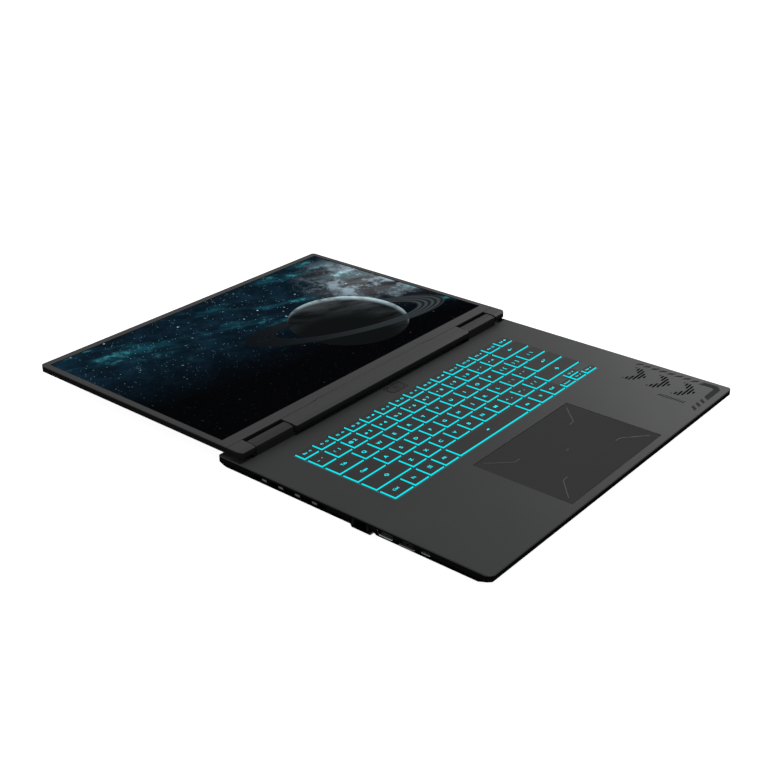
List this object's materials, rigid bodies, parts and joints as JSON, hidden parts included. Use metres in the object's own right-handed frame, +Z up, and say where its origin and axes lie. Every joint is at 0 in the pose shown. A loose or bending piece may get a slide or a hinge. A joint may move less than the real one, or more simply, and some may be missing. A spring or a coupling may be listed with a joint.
{
  "type": "laptop computer",
  "caption": "Laptop computer whose lid turns flat on two raised hinges, with a lit keyboard, a touchpad, side ports, vents and fans.",
  "frame": {"origin": "on the table straight below the middle of the hinge axis, with the lid opened flat", "axes": "+X to the right side of the keyboard, +Y from the base towards the lid, +Z up"},
  "size_m": [0.3584, 0.4832, 0.0247],
  "materials": {
    "deck": "matt",
    "side_shell": "matt",
    "lid_shell": "satin",
    "bezel": "matt",
    "hinge_shell": "matt",
    "screen": "glossy",
    "key_plastic": "matt",
    "touchpad_glass": "satin",
    "black_plastic": "matt",
    "steel": "satin",
    "plate": "satin",
    "light_guide": "clear",
    "circuit_board": "matt",
    "battery": "wrapped",
    "copper": "satin",
    "rubber": "matt"
  },
  "bodies": {
    "base": {"bottom_cover": "side_shell", "rubber_feet": "rubber", "cover_screws": "steel", "top_case": "deck", "keyboard_plate": "plate", "backlight_sheet": "light_guide", "mainboard": "circuit_board", "battery_pack": "battery", "heat_pipes": "copper", "fin_stacks": "copper", "fan_housing_left": "black_plastic", "fan_housing_right": "black_plastic", "ssd_module": "circuit_board", "memory_modules": "circuit_board", "wifi_card": "circuit_board", "speaker_left": "black_plastic", "speaker_right": "black_plastic", "hdmi_port": "steel", "usb_a_left": "steel", "usb_c_port": "steel", "rj45_socket": "black_plastic", "usb_a_right": "steel", "audio_jack": "black_plastic", "dc_in_jack": "black_plastic", "hinge_bracket_left": "steel", "hinge_bracket_right": "steel", "hinge_screws": "steel", "hinge_cover_left": "hinge_shell", "hinge_cover_right": "hinge_shell", "touchpad_frame": "plate"},
    "lid": {"lid_cover": "lid_shell", "display_bezel": "bezel", "chin_trim": "bezel", "display_panel": "screen", "webcam_module": "circuit_board", "display_cable": "black_plastic", "hinge_arm_left": "steel", "hinge_arm_right": "steel"},
    "touchpad": {"touchpad": "touchpad_glass"},
    "power_button": {"power_button": "key_plastic"},
    "rj45_jaw": {"rj45_jaw": "black_plastic"},
    "fan_rotor_left": {"fan_rotor_left": "black_plastic"},
    "fan_rotor_right": {"fan_rotor_right": "black_plastic"},
    "key_space_bar": {"key_space_bar": "key_plastic"},
    "key_enter": {"key_enter": "key_plastic"},
    "key_backspace": {"key_backspace": "key_plastic"},
    "key_tab": {"key_tab": "key_plastic"},
    "key_caps_lock": {"key_caps_lock": "key_plastic"},
    "key_left_shift": {"key_left_shift": "key_plastic"},
    "key_right_shift": {"key_right_shift": "key_plastic"},
    "key_arrow_up": {"key_arrow_up": "key_plastic"},
    "key_arrow_down": {"key_arrow_down": "key_plastic"},
    "key_arrow_left": {"key_arrow_left": "key_plastic"},
    "key_arrow_right": {"key_arrow_right": "key_plastic"},
    "keys_function_row": {"keys_function_row": "key_plastic"},
    "keys_number_row": {"keys_number_row": "key_plastic"},
    "keys_top_letter_row": {"keys_top_letter_row": "key_plastic"},
    "keys_home_row": {"keys_home_row": "key_plastic"},
    "keys_bottom_letter_row": {"keys_bottom_letter_row": "key_plastic"},
    "keys_modifier_row": {"keys_modifier_row": "key_plastic"}
  },
  "joints": [
    {"name": "lid_hinge", "type": "hinge", "parent": "base", "child": "lid", "pos_m": [0, 0, 0.0205], "axis": [1, 0, 0], "range_deg": [0, 180]},
    {"name": "jaw_hinge", "type": "hinge", "parent": "base", "child": "rj45_jaw", "pos_m": [-0.16335, -0.12655, 0.0047], "axis": [0, -1, 0], "range_deg": [0, 6], "stiffness_Nm_per_rad": 0.03, "springref_deg": -11.46},
    {"name": "touchpad_click", "type": "hinge", "parent": "base", "child": "touchpad", "pos_m": [0, -0.1475, 0.0135], "axis": [1, 0, 0], "range_deg": [0, 0.5], "stiffness_Nm_per_rad": 6, "springref_deg": -0.69},
    {"name": "power_press", "type": "slide", "parent": "base", "child": "power_button", "axis": [0, 0, -1], "range_m": [0, 0.0004], "stiffness_N_per_m": 500, "springref_m": -0.0008},
    {"name": "fan_spin_left", "type": "hinge", "parent": "base", "child": "fan_rotor_left", "pos_m": [-0.11795, -0.062, 0.0065], "axis": [0, 0, 1], "continuous": true},
    {"name": "fan_spin_right", "type": "hinge", "parent": "base", "child": "fan_rotor_right", "pos_m": [0.11795, -0.062, 0.0065], "axis": [0, 0, 1], "continuous": true},
    {"name": "key_space_bar_press", "type": "slide", "parent": "base", "child": "key_space_bar", "axis": [0, 0, -1], "range_m": [0, 0.0017], "stiffness_N_per_m": 200, "springref_m": -0.0015},
    {"name": "key_enter_press", "type": "slide", "parent": "base", "child": "key_enter", "axis": [0, 0, -1], "range_m": [0, 0.0017], "stiffness_N_per_m": 200, "springref_m": -0.0015},
    {"name": "key_backspace_press", "type": "slide", "parent": "base", "child": "key_backspace", "axis": [0, 0, -1], "range_m": [0, 0.0017], "stiffness_N_per_m": 200, "springref_m": -0.0015},
    {"name": "key_tab_press", "type": "slide", "parent": "base", "child": "key_tab", "axis": [0, 0, -1], "range_m": [0, 0.0017], "stiffness_N_per_m": 200, "springref_m": -0.0015},
    {"name": "key_caps_lock_press", "type": "slide", "parent": "base", "child": "key_caps_lock", "axis": [0, 0, -1], "range_m": [0, 0.0017], "stiffness_N_per_m": 200, "springref_m": -0.0015},
    {"name": "key_left_shift_press", "type": "slide", "parent": "base", "child": "key_left_shift", "axis": [0, 0, -1], "range_m": [0, 0.0017], "stiffness_N_per_m": 200, "springref_m": -0.0015},
    {"name": "key_right_shift_press", "type": "slide", "parent": "base", "child": "key_right_shift", "axis": [0, 0, -1], "range_m": [0, 0.0017], "stiffness_N_per_m": 200, "springref_m": -0.0015},
    {"name": "key_arrow_up_press", "type": "slide", "parent": "base", "child": "key_arrow_up", "axis": [0, 0, -1], "range_m": [0, 0.0017], "stiffness_N_per_m": 200, "springref_m": -0.0015},
    {"name": "key_arrow_down_press", "type": "slide", "parent": "base", "child": "key_arrow_down", "axis": [0, 0, -1], "range_m": [0, 0.0017], "stiffness_N_per_m": 200, "springref_m": -0.0015},
    {"name": "key_arrow_left_press", "type": "slide", "parent": "base", "child": "key_arrow_left", "axis": [0, 0, -1], "range_m": [0, 0.0017], "stiffness_N_per_m": 200, "springref_m": -0.0015},
    {"name": "key_arrow_right_press", "type": "slide", "parent": "base", "child": "key_arrow_right", "axis": [0, 0, -1], "range_m": [0, 0.0017], "stiffness_N_per_m": 200, "springref_m": -0.0015},
    {"name": "keys_function_row_press", "type": "slide", "parent": "base", "child": "keys_function_row", "axis": [0, 0, -1], "range_m": [0, 0.0017], "stiffness_N_per_m": 200, "springref_m": -0.0015},
    {"name": "keys_number_row_press", "type": "slide", "parent": "base", "child": "keys_number_row", "axis": [0, 0, -1], "range_m": [0, 0.0017], "stiffness_N_per_m": 200, "springref_m": -0.0015},
    {"name": "keys_top_letter_row_press", "type": "slide", "parent": "base", "child": "keys_top_letter_row", "axis": [0, 0, -1], "range_m": [0, 0.0017], "stiffness_N_per_m": 200, "springref_m": -0.0015},
    {"name": "keys_home_row_press", "type": "slide", "parent": "base", "child": "keys_home_row", "axis": [0, 0, -1], "range_m": [0, 0.0017], "stiffness_N_per_m": 200, "springref_m": -0.0015},
    {"name": "keys_bottom_letter_row_press", "type": "slide", "parent": "base", "child": "keys_bottom_letter_row", "axis": [0, 0, -1], "range_m": [0, 0.0017], "stiffness_N_per_m": 200, "springref_m": -0.0015},
    {"name": "keys_modifier_row_press", "type": "slide", "parent": "base", "child": "keys_modifier_row", "axis": [0, 0, -1], "range_m": [0, 0.0017], "stiffness_N_per_m": 200, "springref_m": -0.0015}
  ]
}
